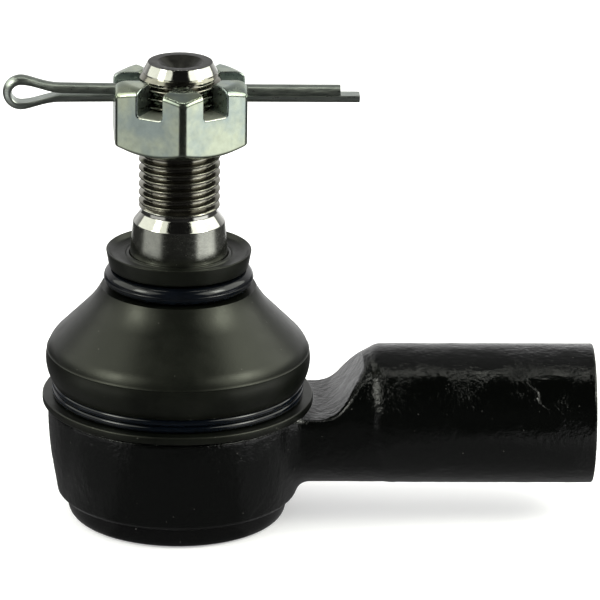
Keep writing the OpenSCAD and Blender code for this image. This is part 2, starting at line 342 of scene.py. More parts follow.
def shank_field(x, z, across):
    """The round shank, with a shoulder that leans back a little towards its top."""
    start = SHANK_X - 0.08 * (z - AXIS_Z)
    shoulder = (across - NECK_HALF + 0.3) * CONE_OUT - (x - start) * CONE_ALONG
    bar = soft_max(across - SHANK_R, shoulder, 0.4)
    return np.maximum(soft_max(bar, x - SHANK_END, 0.35), start - x)


def cavity_field(r, z):
    """The hole in the rim, the cover's recess, the ball's room and the conical mouth."""
    hole = np.maximum(r - COVER_HOLE_R, z - COVER_LOW - 0.5)
    recess = np.maximum(r - COVER_R, np.maximum(COVER_LOW - z, z - COVER_TOP))
    barrel = np.maximum(r - CAVITY_R, z - AXIS_Z)
    ball = np.sqrt(r * r + (z - AXIS_Z) ** 2) - CAVITY_R
    mouth = np.maximum(r - MOUTH_R - (z - MOUTH_Z) * 0.7, MOUTH_Z - 0.5 - z)
    return np.minimum(np.minimum(np.minimum(hole, recess), np.minimum(barrel, ball)), mouth)


def bore_field(x, y, z, across):
    """The shank's threaded bore, with a chamfered mouth and a cone at its end."""
    phase = x / BORE_PITCH - np.arctan2(z - AXIS_Z, y) / (2 * math.pi)
    cut = BORE_DEPTH * (1 - groove(phase)) * np.clip((x - BORE_FLOOR_X - 1) / 2, 0, 1)
    cone = np.minimum(0, (x - BORE_FLOOR_X) * 1.7)
    mouth = np.maximum(0, x - (SHANK_END - 1.3))
    return np.maximum((across - BORE_R - np.maximum(cut, mouth) - cone) * 0.6, 30 - x)


def housing_field(x, y, z):
    r = np.hypot(x, y)
    across = np.hypot(y, z - AXIS_Z)
    solid = soft_min(neck_field(x, y, z), shank_field(x, z, across), 0.25)
    solid = soft_min(solid, socket_field(r, z), 2.0)
    solid = np.maximum(solid, -z)
    return np.maximum(np.maximum(solid, -cavity_field(r, z)), -bore_field(x, y, z, across))


def housing_zone(points):
    """0 forged skin, 1 turned rim and end face, 2 bare cavity and thread."""
    x, y, z = points.T
    r = np.hypot(x, y)
    across = np.hypot(y, z - AXIS_Z)
    zone = np.zeros(len(points), int)
    zone[(z < RIM_TOP + 0.1) & (r < SKIRT_LOW_R + 0.2)] = 1
    zone[(z > SHOULDER_Z - 0.2) & (r < SOCKET_R - 0.3)] = 1
    zone[x > SHANK_END - 0.1] = 1
    zone[(x > 29) & (across < BORE_R + 1.25)] = 2
    zone[(r < 14.0) & (z > 0.1) & (z < COLLAR_TOP - 0.2)] = 2
    return zone


def scar(p):
    """Height of the lapped seam that runs down the front of the shank near its mouth."""
    height, width = 0.17, 0.2
    lean = math.degrees(math.atan2(p.z - AXIS_Z, -p.y))
    along = (56 - lean) / 42
    if p.y > 0 or not 0 < along < 1:
        return 0.0
    middle = SHANK_END - 11.2 + 4.2 * along + 0.4 * math.sin(17 * along)
    return height * math.exp(-(((p.x - middle) / width) ** 2)) * math.sin(math.pi * along) ** 0.5


def forged(points, normals):
    """Uneven forged skin: shallow hollows, smaller pits and a fine grain, none on turned faces."""
    rough = housing_zone(points) == 0
    lift = np.zeros(len(points))
    for i in np.flatnonzero(rough):
        p = Vector(points[i])
        broad = noise.noise(p * 0.28)
        lump = noise.noise(Vector((p.x * 0.5, p.y, p.z)) * 0.9)
        grain = noise.noise(Vector((p.x * 0.6, p.y, p.z)) * 1.9)
        lift[i] = 0.03 * broad + 0.014 * lump + 0.014 * grain + scar(p)
    return points + normals * lift[:, None]


def make_housing():
    margin, cell = 0.8, 0.26
    points, quads = contoured(housing_field, housing_low - margin, housing_high + margin, cell)
    centres = points[quads].mean(1)
    normals = slope_of(housing_field, points, 0.01)
    points = forged(points, normals)
    skins = [forging_paint(), turned_paint(), bare_steel()]
    return add_mesh("housing_forging", points, quads, skins, housing_zone(centres), sharp=50)


def make_end_cover():
    """Pressed plate with a raised pan and a shallow rib, under the rolled rim."""
    pan, step = COVER_LOW + 0.75, COVER_LOW + 0.55
    under = [(0, pan), (2.5, pan), (3.2, step), (6.2, step), (7.2, COVER_LOW), (11.2, COVER_LOW),
             (11.7, COVER_LOW + 0.2), (12.2, COVER_LOW), (COVER_R, COVER_LOW)]
    outline = rounded(under, 0.5) + [(COVER_R, COVER_TOP), (0, COVER_TOP)]
    return lathe("end_cover_plate", outline, [cover_paint()])


# ---- Ball stud ----

RELIEF_R = 5.55
RELIEF_TOP_Z = 47.2
TAPER_LOW_Z = 34.0
DIMPLE_R = 3.3
CROSS_HOLE_R = 1.6


def threaded(radius, z, turn):
    """Cuts the stud's helical thread into the rows above its relief."""
    fade = np.clip((z - RELIEF_TOP_Z - 0.3) / 0.7, 0, 1) * np.clip((STUD_TOP - 1.5 - z) / 0.4, 0, 1)
    cut = THREAD_DEPTH * groove(thread_phase(z, turn)) * fade
    return np.where(z > RELIEF_TOP_Z - 0.05, np.minimum(radius, THREAD_R - cut), radius)


def stud_outline():
    """The ball, its neck, the taper, the relief, the threaded shaft and the tip with its dimple."""
    ball = arc(0, AXIS_Z, BALL_R, -74, 58.5, 40)
    relief = (RELIEF_R, RELIEF_TOP_Z)
    neck = [ball[-1], (5.5, 25.4), (5.5, 29.5), (7.0, 33.2), (taper_r(TAPER_LOW_Z), TAPER_LOW_Z),
            (TAPER_TOP_R, TAPER_TOP_Z), (RELIEF_R, RELIEF_TOP_Z - 0.5), relief]
    tip_z = STUD_TOP - 1.35
    shaft = [relief, (THREAD_R, RELIEF_TOP_Z + 0.4), (THREAD_R, tip_z - 1.0), (5.3, tip_z - 0.3),
             (5.22, tip_z - 0.12), (5.4, tip_z)]
    tip = [(4.68, STUD_TOP), (DIMPLE_R, STUD_TOP), (0.7, STUD_TOP - 1.75), (0, STUD_TOP - 1.85)]
    lower = [(0, ball[0][1]), ball[0]]
    return (lower + ball[1:-1] + rounded(neck, 0.15) + filled(shaft, THREAD_PITCH / 32)[1:]
            + rounded([shaft[-1]] + tip, 0.07)[1:])


def stud_zone(r, z):
    """0 turned faces, 1 rolled thread, 2 ground taper, 3 sheared end."""
    if z > STUD_TOP - 0.01 or (r < DIMPLE_R and z > AXIS_Z + BALL_R):
        return 3
    if RELIEF_TOP_Z + 0.4 < z < STUD_TOP - 1.5:
        return 1
    return 2 if TAPER_LOW_Z < z < TAPER_TOP_Z - 0.15 else 0


def make_stud():
    skins = [turned_steel(), thread_steel(), taper_steel(), sheared_steel()]
    stud = lathe("ball_stud_turned", stud_outline(), skins, stud_zone, around=180, shape=threaded)
    half = 9.0
    outline = [(0, -half), (CROSS_HOLE_R, -half), (CROSS_HOLE_R, half), (0, half)]
    drill = lathe("drill", outline, [], around=48)
    drill.rotation_euler = (0, math.pi / 2, 0)
    drill.location = (0, 0, PIN_Z * MM)
    carve(stud, drill)
    return stud


def carve(piece, cutter):
    """Subtracts the cutter from the piece for good and removes it."""
    cut = piece.modifiers.new("cut", "BOOLEAN")
    cut.object = cutter
    cut.solver = "EXACT"
    bpy.context.view_layer.update()
    result = piece.evaluated_get(bpy.context.evaluated_depsgraph_get())
    mesh = bpy.data.meshes.new_from_object(result)
    piece.modifiers.clear()
    piece.data = mesh
    mesh.name = piece.name
    bpy.data.objects.remove(cutter)


# ---- Nut ----

NUT_HALF = 9.5
NUT_FACE_R = 0.92 * NUT_HALF
NUT_BOTTOM, NUT_TOP = nut_low[2], nut_high[2]
NUT_FACES = [math.radians(2) + k * math.pi / 3 for k in range(3)]
SLOT_HALF = 2.0
SLOT_FLOOR = NUT_TOP - 4.0


def beside_slot(x, y, face):
    """Distance from the middle plane of the slot through a pair of faces."""
    return np.abs(y * math.cos(face) - x * math.sin(face))


def nut_body_field(x, y, z, r):
    """The hexagon with its turned 30-degree corners, above and below."""
    sides = [np.abs(x * math.cos(face) + y * math.sin(face)) - NUT_HALF for face in NUT_FACES]
    prism = soft_max(soft_max(sides[0], sides[1], 0.75), sides[2], 0.75)
    above = (r - NUT_FACE_R) * 0.5 + (z - NUT_TOP) * 0.866
    below = (r - NUT_FACE_R) * 0.5 + (NUT_BOTTOM - z) * 0.866
    ends = np.maximum(NUT_BOTTOM - z, z - NUT_TOP)
    return soft_max(soft_max(prism, above, 0.5), soft_max(ends, below, 0.2), 0.3)


def nut_field(x, y, z):
    """The nut's body less its slots and its threaded hole, whose two mouths are chamfered."""
    r = np.hypot(x, y)
    solid = nut_body_field(x, y, z, r)
    for face in NUT_FACES:
        slot = soft_max(beside_slot(x, y, face) - SLOT_HALF, SLOT_FLOOR - z, 0.7)
        solid = soft_max(solid, -slot, 0.25)
    wall = THREAD_R + 0.09 - THREAD_DEPTH * groove(thread_phase(z, np.arctan2(y, x))) * 0.98
    mouth = np.maximum(THREAD_R + 0.35 - np.minimum(z - NUT_BOTTOM, NUT_TOP - z) * 1.2, wall)
    return soft_max(solid, (mouth - r) * 0.7, 0.08)


def nut_zone(points):
    """0 outside and thread, 1 milled slot floors, 2 slot walls."""
    x, y, z = points.T
    zone = np.zeros(len(points), int)
    for face in NUT_FACES:
        beside = beside_slot(x, y, face)
        zone[(beside < SLOT_HALF + 0.08) & (z > SLOT_FLOOR) & (np.hypot(x, y) < NUT_HALF + 1.2)] = 2
        zone[(beside < SLOT_HALF - 0.25) & (np.abs(z - SLOT_FLOOR) < 0.16)] = 1
    return zone


def make_nut():
    margin, cell = 0.5, 0.14
    points, quads = contoured(nut_field, nut_low - margin, nut_high + margin, cell)
    zone = nut_zone(points[quads].mean(1))
    # The slot floors get a paler copy of the plating as painted light from above, and the slot walls a
    # darker copy as painted shade.
    skins = [nut_zinc(), milled_zinc_painted_light(), slot_zinc_painted_shade()]
    return add_mesh("castle_nut_plated", points, quads, skins, zone, sharp=50)


# ---- Cotter pin ----

WIRE_R = 1.25
EYE_R = 2.6 - WIRE_R
EYE_X = pin_low[0] + WIRE_R + EYE_R
FORK_X = -17.0
UPPER_END_X = 23.1
LOWER_END_X = pin_high[0]


def leg_gap(x):
    """Half the gap between the legs: small, so that they clear the slot's floor as the pin slides in."""
    return 0.03 + 0.011 * max(0.0, -3.0 - x)


def pin_half(end_x):
    """Points (x, offset, angle) of one leg's flat face, from its end to the eye's middle."""
    rows = [(x, leg_gap(x), 90) for x in np.linspace(end_x, FORK_X, 40)]
    start = leg_gap(FORK_X)
    for s in np.linspace(0, 1, 13)[1:]:
        ease = s * s * (3 - 2 * s)
        slope = (EYE_R - start) * 6 * s * (1 - s) / (FORK_X - EYE_X)
        rows.append((FORK_X + (EYE_X - FORK_X) * s, start + (EYE_R - start) * ease,
                     90 + math.degrees(math.atan(slope))))
    rows += [(EYE_X + EYE_R * math.cos(t), EYE_R * math.sin(t), math.degrees(t))
             for t in np.radians(np.linspace(90, 180, 11))[1:]]
    return rows


def make_pin():
    """Half-round wire bent double around an eye, its two flat faces together."""
    upper = pin_half(UPPER_END_X)
    lower = [(x, -o, -a) for x, o, a in pin_half(LOWER_END_X)[:-1]]
    rows = upper + lower[::-1]
    path = [(x, 0, PIN_Z + o) for x, o, a in rows]
    out = [(math.cos(math.radians(a)), 0, math.sin(math.radians(a))) for x, o, a in rows]
    across = [(0, 1, 0)] * len(rows)
    section = [(-WIRE_R + 0.1, 0)] + arc(0, 0.02, WIRE_R, 175, 5, 20) + [(WIRE_R - 0.1, 0)]
    return swept("cotter_pin_wire", path, across, out, section[::-1], [pin_zinc()])


# ---- Boot ----

BULGE_R = 19.35
BULGE_Z = 24.3
LOW_ROUND = 6.0
HIGH_ROUND = 4.7
HOLLOW_ROUND = 14.0
CONE_RUN = 4.1
WALL = 1.6
FLANGE_Z = SHOULDER_Z + 0.1
CLIP_TOP = clip_high[2] + 0.04
RING_Z = (top_ring_low[2] + top_ring_high[2]) / 2
RING_OUT_R = top_ring_high[0]
RING_BEAD_R = 1.25
RING_SEAT_R = RING_OUT_R - 2 * RING_BEAD_R - 0.05
CLIP_WIRE_R = 0.53
CLIP_SEAT_R = clip_high[0] - 2 * CLIP_WIRE_R - 0.05
LIP_R = 10.6
LIP_Z = boot_high[2]


def boot_side(inset):
    """The wall from the clip to the ring seat: bulge, cone and hollow, drawn `inset` inside it."""
    slant = math.sqrt(0.5)
    cone = (BULGE_R - HIGH_ROUND * (1 - slant), BULGE_Z + HIGH_ROUND * slant)
    hollow = (cone[0] - CONE_RUN + HOLLOW_ROUND * slant, cone[1] + CONE_RUN + HOLLOW_ROUND * slant)
    start = -math.degrees(math.asin((BULGE_Z - CLIP_TOP) / LOW_ROUND))
    end = 180 + math.degrees(math.asin((hollow[1] - RING_Z + 1.45) / HOLLOW_ROUND))
    return (arc(BULGE_R - LOW_ROUND, BULGE_Z, LOW_ROUND - inset, start, 0, 14)
            + arc(BULGE_R - HIGH_ROUND, BULGE_Z, HIGH_ROUND - inset, 3, 45, 14)
            + arc(*hollow, HOLLOW_ROUND + inset, 225, end, 20))


def with_flash(points, z):
    """Adds the mould's thin parting bead where the outline rises past z."""
    result = []
    for before, here in zip(points, points[1:]):
        result.append(before)
        if before[1] < z <= here[1]:
            r = before[0] + (here[0] - before[0]) * (z - before[1]) / (here[1] - before[1])
            result += [(r, z - 0.08), (r + 0.06, z - 0.02), (r + 0.06, z + 0.03), (r, z + 0.09)]
    return result + [points[-1]]


def boot_outline():
    """The closed section: flange, clip groove, side, ring groove, dished lip and inner wall."""
    flange_r = boot_high[0]
    bead_r = COLLAR_R + 0.1
    near = taper_r(LIP_Z)
    flange = rounded([(bead_r, FLANGE_Z), (flange_r, FLANGE_Z), (flange_r, FLANGE_Z + 1.2),
                      (CLIP_SEAT_R, FLANGE_Z + 1.2), (CLIP_SEAT_R, CLIP_TOP), boot_side(0)[0]], 0.35)
    lip = rounded([boot_side(0)[-1], (RING_SEAT_R, RING_Z - 1.35), (RING_SEAT_R, RING_Z + 1.35),
                   (LIP_R - 0.45, RING_Z + 1.55), (LIP_R, LIP_Z - 0.1), (LIP_R - 0.2, LIP_Z),
                   (LIP_R - 0.9, LIP_Z - 0.75), (LIP_R - 2.1, LIP_Z - 1.0), (near + 0.75, LIP_Z - 0.85),
                   (near + 0.55, LIP_Z - 0.6), (near + 0.2, LIP_Z - 0.55), (near + 0.1, LIP_Z - 1.0),
                   (taper_r(RING_Z) + 0.08, RING_Z), (taper_r(RING_Z - 2) + 0.5, RING_Z - 2.2)], 0.4)
    inner = [p for p in boot_side(WALL)[::-1] if p[1] > COLLAR_TOP + 0.4 and p[0] > taper_r(p[1]) + 1.5]
    return (flange[:-1] + with_flash(boot_side(0), 25.6)[:-1] + lip + inner
            + [(bead_r, COLLAR_TOP + 0.1)])


def make_boot():
    return lathe("boot_rubber_shell", boot_outline(), [boot_rubber()], around=240, closed=True)


def make_top_ring():
    """Moulded ring with a faint parting line around its outside."""
    centre_r, parting = RING_OUT_R - RING_BEAD_R, 0.03
    section = arc(centre_r, RING_Z, RING_BEAD_R, -178, -3, 24)
    section += [(RING_OUT_R + parting, RING_Z - parting), (RING_OUT_R + parting, RING_Z + parting)]
    section += arc(centre_r, RING_Z, RING_BEAD_R, 3, 180, 24)
    return lathe("boot_top_ring_moulded", section, [ring_rubber()], around=240, closed=True)


def make_clip():
    """Two turns of wire that step up to the second turn behind the boot."""
    centre_r = clip_high[0] - CLIP_WIRE_R
    low, high = clip_low[2] + CLIP_WIRE_R, clip_high[2] - CLIP_WIRE_R
    turn = np.radians(np.linspace(93, 93 + 708, 361))
    step = np.clip((turn - math.radians(437)) / math.radians(30), 0, 1)
    height = low + (high - low) * step * step * (3 - 2 * step)
    path = np.stack([centre_r * np.cos(turn), centre_r * np.sin(turn), height], 1)
    out = np.stack([np.cos(turn), np.sin(turn), 0 * turn], 1)
    up = np.tile([0.0, 0.0, 1.0], (len(turn), 1))
    section = arc(0, 0, CLIP_WIRE_R, 0, 337.5, 15)
    return swept("boot_clip_wire", path, out, up, section, [clip_steel()])


# ---- Materials ----


class Graph:
    """A node tree being built, with the coordinates that its textures read."""

    def __init__(self, tree, coords="Object"):
        self.tree = tree
        self.coords = self.add("TexCoord").outputs[coords]

    def add(self, kind, **settings):
        made = self.tree.nodes.new("ShaderNode" + kind)
        for key, value in settings.items():
            setattr(made, key, value)
        return made

    def join(self, source, socket):
        self.tree.links.new(source, socket)

    def place(self, scale):
        """Object coordinates in features per millimetre along x, y and z."""
        mapping = self.add("Mapping")
        self.join(self.coords, mapping.inputs["Vector"])
        mapping.inputs["Scale"].default_value = [s / MM for s in scale]
        return mapping.outputs["Vector"]

    def noise(self, size, detail=3.0, rough=0.55, stretch=(1, 1, 1)):
        """Noise whose features are about `size` millimetres across."""
        made = self.add("TexNoise")
        self.join(self.place([1 / (size * s) for s in stretch]), made.inputs["Vector"])
        made.inputs["Scale"].default_value = 1.0
        made.inputs["Detail"].default_value = detail
        made.inputs["Roughness"].default_value = rough
        return made.outputs[0]

    def cells(self, size):
        """Distance to the nearest of random points, about `size` millimetres apart."""
        made = self.add("TexVoronoi")
        self.join(self.place([1 / size] * 3), made.inputs["Vector"])
        made.inputs["Scale"].default_value = 1.0
        return made.outputs["Distance"]

    def lines(self, size, wander):
        """Fine tool marks, `size` millimetres apart along Z."""
        period = 0.314
        made = self.add("TexWave", bands_direction="Z")
        self.join(self.place((1, 1, 1)), made.inputs["Vector"])
        made.inputs["Scale"].default_value = period / size
        made.inputs["Distortion"].default_value = wander
        made.inputs["Detail"].default_value = 3
        made.inputs["Detail Scale"].default_value = 1.5
        return made.outputs["Fac"]

    def ramp(self, source, *stops):
        """A color ramp; each stop is (position, value or color)."""
        made = self.add("ValToRGB")
        while len(made.color_ramp.elements) < len(stops):
            made.color_ramp.elements.new(0.5)
        for element, (place, value) in zip(made.color_ramp.elements, stops):
            element.position = place
            element.color = (*value, 1) if isinstance(value, tuple) else (value, value, value, 1)
        self.join(source, made.inputs[0])
        return made.outputs["Color"]

    def blend(self, factor, a, b, mode="MIX"):
        """Mixes two colors; factor may be a number or a socket."""
        made = self.add("Mix", data_type="RGBA", blend_type=mode)
        for key, value in ((0, factor), (6, a), (7, b)):
            if isinstance(value, bpy.types.NodeSocket):
                self.join(value, made.inputs[key])
            else:
                made.inputs[key].default_value = (*value, 1) if isinstance(value, tuple) else value
        return made.outputs[2]

    def above(self, axis, start, end):
        """0 below a height in millimetres, rising to 1 above another."""
        split = self.add("SeparateXYZ")
        self.join(self.coords, split.inputs[0])
        made = self.add("MapRange")
        self.join(split.outputs[axis], made.inputs["Value"])
        made.inputs["From Min"].default_value = start * MM
        made.inputs["From Max"].default_value = end * MM
        return made.outputs[0]


class Finish(Graph):
    """A procedural material being built around one Principled shader."""

    def __init__(self, name, color, metallic=0.0):
        self.material = bpy.data.materials.new(name)
        self.material.use_nodes = True
        super().__init__(self.material.node_tree)
        self.shader = self.tree.nodes["Principled BSDF"]
        self.material.diffuse_color = (*color, 1)
        self.shader.inputs["Base Color"].default_value = (*color, 1)
        self.shader.inputs["Metallic"].default_value = metallic
        self.normal = None

    def bump(self, height, depth, strength=1.0):
        """Relief `depth` millimetres deep, over any relief added before."""
        made = self.add("Bump")
        made.inputs["Strength"].default_value = strength
        made.inputs["Distance"].default_value = depth * MM
        self.join(height, made.inputs["Height"])
        if self.normal:
            self.join(self.normal, made.inputs["Normal"])
        self.normal = made.outputs["Normal"]
        self.join(self.normal, self.shader.inputs["Normal"])

    def color(self, source):
        self.join(source, self.shader.inputs["Base Color"])

    def roughness(self, source, low, high):
        """Roughness between two values, following a noise."""
        self.join(self.ramp(source, (0.3, low), (0.7, high)), self.shader.inputs["Roughness"])


def add_dust(f, base, size, color):
    """Scattered specks, about one in a cube of `size` millimetres, over a base color or socket."""
    speck = f.ramp(f.cells(size), (0.05, 1.0), (0.065, 0.0))
    f.color(f.blend(speck, base, color))


def forging_paint():
    """Glossy black dip paint over a forged skin, with dust."""
    f = Finish("forging_paint", (0.003, 0.003, 0.003))
    patchy = f.ramp(f.noise(6.0, 3, 0.6), (0.4, 0.25), (0.62, 1.0))
    fine = f.blend(1.0, f.noise(0.55, 3, 0.6), patchy, "MULTIPLY")
    f.bump(fine, 0.15)
    f.bump(f.noise(1.4, 3, 0.6), 0.05)
    add_dust(f, (0.0008, 0.001, 0.0008), 1.7, (0.028, 0.028, 0.025))
    f.roughness(f.noise(1.6, 4, 0.6), 0.05, 0.11)
    return f.material


def turned_paint():
    """The same paint over turned faces: smooth, with faint tool rings."""
    f = Finish("turned_paint", (0.003, 0.003, 0.003))
    f.bump(f.lines(0.3, 0.5), 0.004, 0.5)
    f.bump(f.noise(1.6, 3, 0.5), 0.02, 0.5)
    add_dust(f, (0.0012, 0.0013, 0.0012), 2.2, (0.035, 0.035, 0.033))
    f.roughness(f.noise(2.0, 3), 0.08, 0.16)
    return f.material


def bare_steel():
    """Oiled, phosphated steel of the cavity and the internal thread."""
    f = Finish("bare_steel", (0.13, 0.125, 0.12), metallic=1.0)
    f.color(f.ramp(f.noise(2.2, 4, 0.6), (0.3, (0.12, 0.118, 0.112)), (0.7, (0.28, 0.27, 0.25))))
    f.roughness(f.noise(0.8, 3), 0.3, 0.48)
    f.bump(f.noise(0.25, 3, 0.6), 0.008, 0.5)
    return f.material


def cover_paint():
    """Black paint on pressed sheet, thin and dusty in places."""
    f = Finish("cover_paint", (0.012, 0.012, 0.013))
    f.color(f.ramp(f.noise(3.0, 5, 0.7), (0.35, (0.006, 0.006, 0.006)), (0.75, (0.02, 0.019, 0.018))))
    f.roughness(f.noise(1.5, 4), 0.24, 0.42)
    f.bump(f.noise(0.6, 4, 0.6), 0.015, 0.6)
    return f.material


def seat_plastic():
    """Ivory acetal with a trace of grease."""
    f = Finish("seat_plastic", (0.66, 0.6, 0.47))
    f.color(f.ramp(f.noise(4.0, 4, 0.6), (0.3, (0.55, 0.48, 0.34)), (0.7, (0.72, 0.67, 0.54))))
    f.roughness(f.noise(1.5, 3), 0.25, 0.5)
    f.bump(f.lines(0.3, 0.4), 0.006, 0.4)
    return f.material


def spring_steel():
    """Heat-blued spring sheet."""
    f = Finish("spring_steel", (0.12, 0.13, 0.16), metallic=1.0)
    f.color(f.ramp(f.noise(3.0, 4), (0.3, (0.06, 0.07, 0.11)), (0.7, (0.2, 0.19, 0.18))))
    f.roughness(f.noise(0.7, 3), 0.28, 0.46)
    f.bump(f.noise(0.3, 3), 0.008, 0.5)
    return f.material


def steel(name, dark, light, low, high):
    """Bright steel between two tones and two roughnesses."""
    f = Finish(name, light, metallic=1.0)
    f.color(f.ramp(f.noise(1.6, 4, 0.6), (0.3, dark), (0.72, light)))
    f.roughness(f.noise(0.9, 4, 0.6, (1, 1, 0.4)), low, high)
    return f


def turned_steel():
    """Bright turned faces with fine tool rings."""
    f = steel("turned_steel", (0.5, 0.5, 0.46), (0.58, 0.58, 0.53), 0.07, 0.12)
    f.bump(f.lines(0.12, 0.6), 0.001, 0.5)
    return f.material


def thread_steel():
    """Rolled thread, slightly brown and duller than the turned faces."""
    f = steel("thread_steel", (0.24, 0.23, 0.19), (0.38, 0.37, 0.31), 0.11, 0.17)
    f.bump(f.noise(0.5, 3, 0.6), 0.001, 0.5)
    return f.material


def sheared_steel():
    """Dull, darkened end face and centre hole."""
    f = steel("sheared_steel", (0.045, 0.044, 0.039), (0.085, 0.084, 0.075), 0.28, 0.4)
    f.bump(f.noise(0.3, 4, 0.6), 0.01, 0.6)
    return f.material


def taper_steel():
    """Ground taper: satin, with grinding lines around it and faint mottling."""
    f = steel("taper_steel", (0.33, 0.34, 0.3), (0.45, 0.46, 0.4), 0.18, 0.28)
    f.bump(f.lines(0.09, 1.0), 0.002, 0.6)
    f.bump(f.noise(0.7, 3, 0.6), 0.0015, 0.5)
    return f.material


def nut_zinc():
    """Pale passivated zinc: mottled, with bluish and greenish patches."""
    f = Finish("nut_zinc", (0.55, 0.6, 0.5), metallic=1.0)
    tint = f.ramp(f.noise(5.0, 4, 0.55), (0.38, (0.4, 0.475, 0.44)), (0.62, (0.57, 0.63, 0.48)))
    cloud = f.ramp(f.noise(1.8, 4, 0.6), (0.3, 0.84), (0.7, 1.0))
    f.color(f.blend(1.0, tint, cloud, "MULTIPLY"))
    f.roughness(f.noise(1.2, 4, 0.6), 0.18, 0.27)
    f.bump(f.noise(1.4, 4, 0.6), 0.008, 0.5)
    return f.material


def milled_zinc_painted_light():
    """The same plating over the milled slot floors: rougher, and paler as painted light from above on
    these upward faces.
    """
    f = Finish("milled_zinc_painted_light", (0.9, 0.92, 0.8), metallic=1.0)
    f.color(f.ramp(f.noise(0.7, 4, 0.6), (0.3, (0.86, 0.88, 0.76)), (0.7, (0.97, 0.98, 0.88))))
    f.roughness(f.noise(0.5, 3), 0.42, 0.6)
    f.bump(f.noise(0.4, 3, 0.6), 0.01, 0.5)
    return f.material


def slot_zinc_painted_shade():
    """The plating down the slots' walls: bluer, and a little darker as painted shade inside the slots."""
    f = Finish("slot_zinc_painted_shade", (0.42, 0.49, 0.48), metallic=1.0)
    f.color(f.ramp(f.noise(0.8, 4, 0.6), (0.3, (0.36, 0.42, 0.42)), (0.7, (0.5, 0.57, 0.54))))
    f.roughness(f.noise(0.6, 3), 0.24, 0.36)
    f.bump(f.noise(0.6, 3, 0.6), 0.005, 0.5)
    return f.material


def pin_zinc():
    """Zinc on drawn wire: grey streaks along the legs."""
    f = Finish("pin_zinc", (0.5, 0.53, 0.52), metallic=1.0)
    streak = f.noise(0.35, 4, 0.6, (8, 1, 1))
    f.color(f.ramp(streak, (0.3, (0.36, 0.4, 0.37)), (0.7, (0.62, 0.67, 0.6))))
    f.roughness(f.noise(0.4, 3, 0.6, (4, 1, 1)), 0.26, 0.38)
    f.bump(f.noise(0.3, 4, 0.65, (2, 1, 1)), 0.02, 0.8)
    return f.material


def boot_rubber():
    """Matt black rubber with a slight bloom, fine moulded grain and dust."""
    f = Finish("boot_rubber", (0.005, 0.0053, 0.0045))
    bloom = f.ramp(f.noise(7.0, 4, 0.6), (0.35, (0.0016, 0.002, 0.0014)), (0.7, (0.0042, 0.0049, 0.0034)))
    add_dust(f, bloom, 1.8, (0.05, 0.05, 0.043))
    f.roughness(f.noise(2.0, 4, 0.6), 0.29, 0.36)
    f.bump(f.noise(0.25, 2, 0.5), 0.012, 0.6)
    f.shader.inputs["Specular IOR Level"].default_value = 0.38
    f.shader.inputs["Specular Tint"].default_value = (1.0, 1.03, 0.88, 1.0)
    f.bump(f.noise(3.0, 3, 0.5), 0.04, 0.4)
    return f.material


def ring_rubber():
    """Glossy blue-black elastomer."""
    f = Finish("ring_rubber", (0.004, 0.005, 0.007))
    f.color(f.ramp(f.noise(2.0, 4), (0.3, (0.001, 0.0014, 0.002)), (0.7, (0.002, 0.003, 0.005))))
    f.roughness(f.noise(1.2, 4), 0.12, 0.19)
    f.bump(f.noise(0.6, 3), 0.008, 0.4)
    return f.material


def clip_steel():
    """Blue-black lacquered spring wire."""
    f = Finish("clip_steel", (0.006, 0.008, 0.012))
    f.color(f.ramp(f.noise(1.0, 4), (0.3, (0.0008, 0.0014, 0.0024)), (0.7, (0.0016, 0.0028, 0.005))))
    f.roughness(f.noise(0.5, 3), 0.08, 0.13)
    f.bump(f.noise(0.4, 3), 0.004, 0.4)
    return f.material


def floor_white():
    """Pale board with a faint tooth."""
    f = Finish("floor_white", (0.9, 0.9, 0.9))
    f.color(f.ramp(f.noise(60.0, 3), (0.3, 0.9), (0.7, 0.93)))
    f.roughness(f.noise(8.0, 3), 0.8, 0.95)
    f.bump(f.noise(1.0, 3), 0.01, 0.2)
    f.shader.inputs["Emission Color"].default_value = (1, 1, 1, 1)
    f.shader.inputs["Emission Strength"].default_value = 0.35
    return f.material


# ---- Assembly ----


def mount_piece(piece, body, node):
    """Puts a finished piece on a body, in place of a CAD node."""
    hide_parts(node)
    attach(piece, body)


def repaint(node, material):
    """Gives a CAD node that keeps its shape a finished material."""
    piece = bpy.data.objects[node]
    piece.data.materials.clear()
    piece.data.materials.append(material)


mount_piece(make_housing(), "housing", "housing")
mount_piece(make_end_cover(), "housing", "end_cover")
mount_piece(make_stud(), "stud", "ball_stud")
mount_piece(make_nut(), "stud", "castle_nut")
mount_piece(make_pin(), "pin", "cotter_pin")
mount_piece(make_top_ring(), "boot_top", "boot_top_ring")
mount_piece(make_clip(), "boot_base", "boot_clip_ring")
repaint("lower_seat", seat_plastic())
repaint("upper_seat", seat_plastic())
repaint("seat_spring", spring_steel())

boot = make_boot()
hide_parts("dust_boot")
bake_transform(boot)


# ---- Studio ----


def direction(azimuth, elevation):
    """Unit vector by two angles in degrees: azimuth 0 is the front and 90 is towards +X."""
    a, e = math.radians(azimuth), math.radians(elevation)
    return Vector((math.sin(a) * math.cos(e), -math.cos(a) * math.cos(e), math.sin(e)))


def panel(name, azimuth, elevation, width, height, glow):
    """A soft box that faces the object, with sizes in metres."""
    distance, aim, tint = 0.9, Vector((10, 0, 30)) * MM, (1.0, 1.02, 0.92)
    toward = direction(azimuth, elevation)
    data = bpy.data.lights.new(name, "AREA")
    data.shape = "RECTANGLE"
    data.size, data.size_y = width, height
    data.energy = glow * math.pi * width * height
    data.color = tint
    lamp = bpy.data.objects.new(name, data)
    lamp.location = aim + toward * distance
    lamp.rotation_euler = toward.to_track_quat("Z", "Y").to_euler()
    lamp.visible_camera = False
    bpy.context.scene.collection.objects.link(lamp)


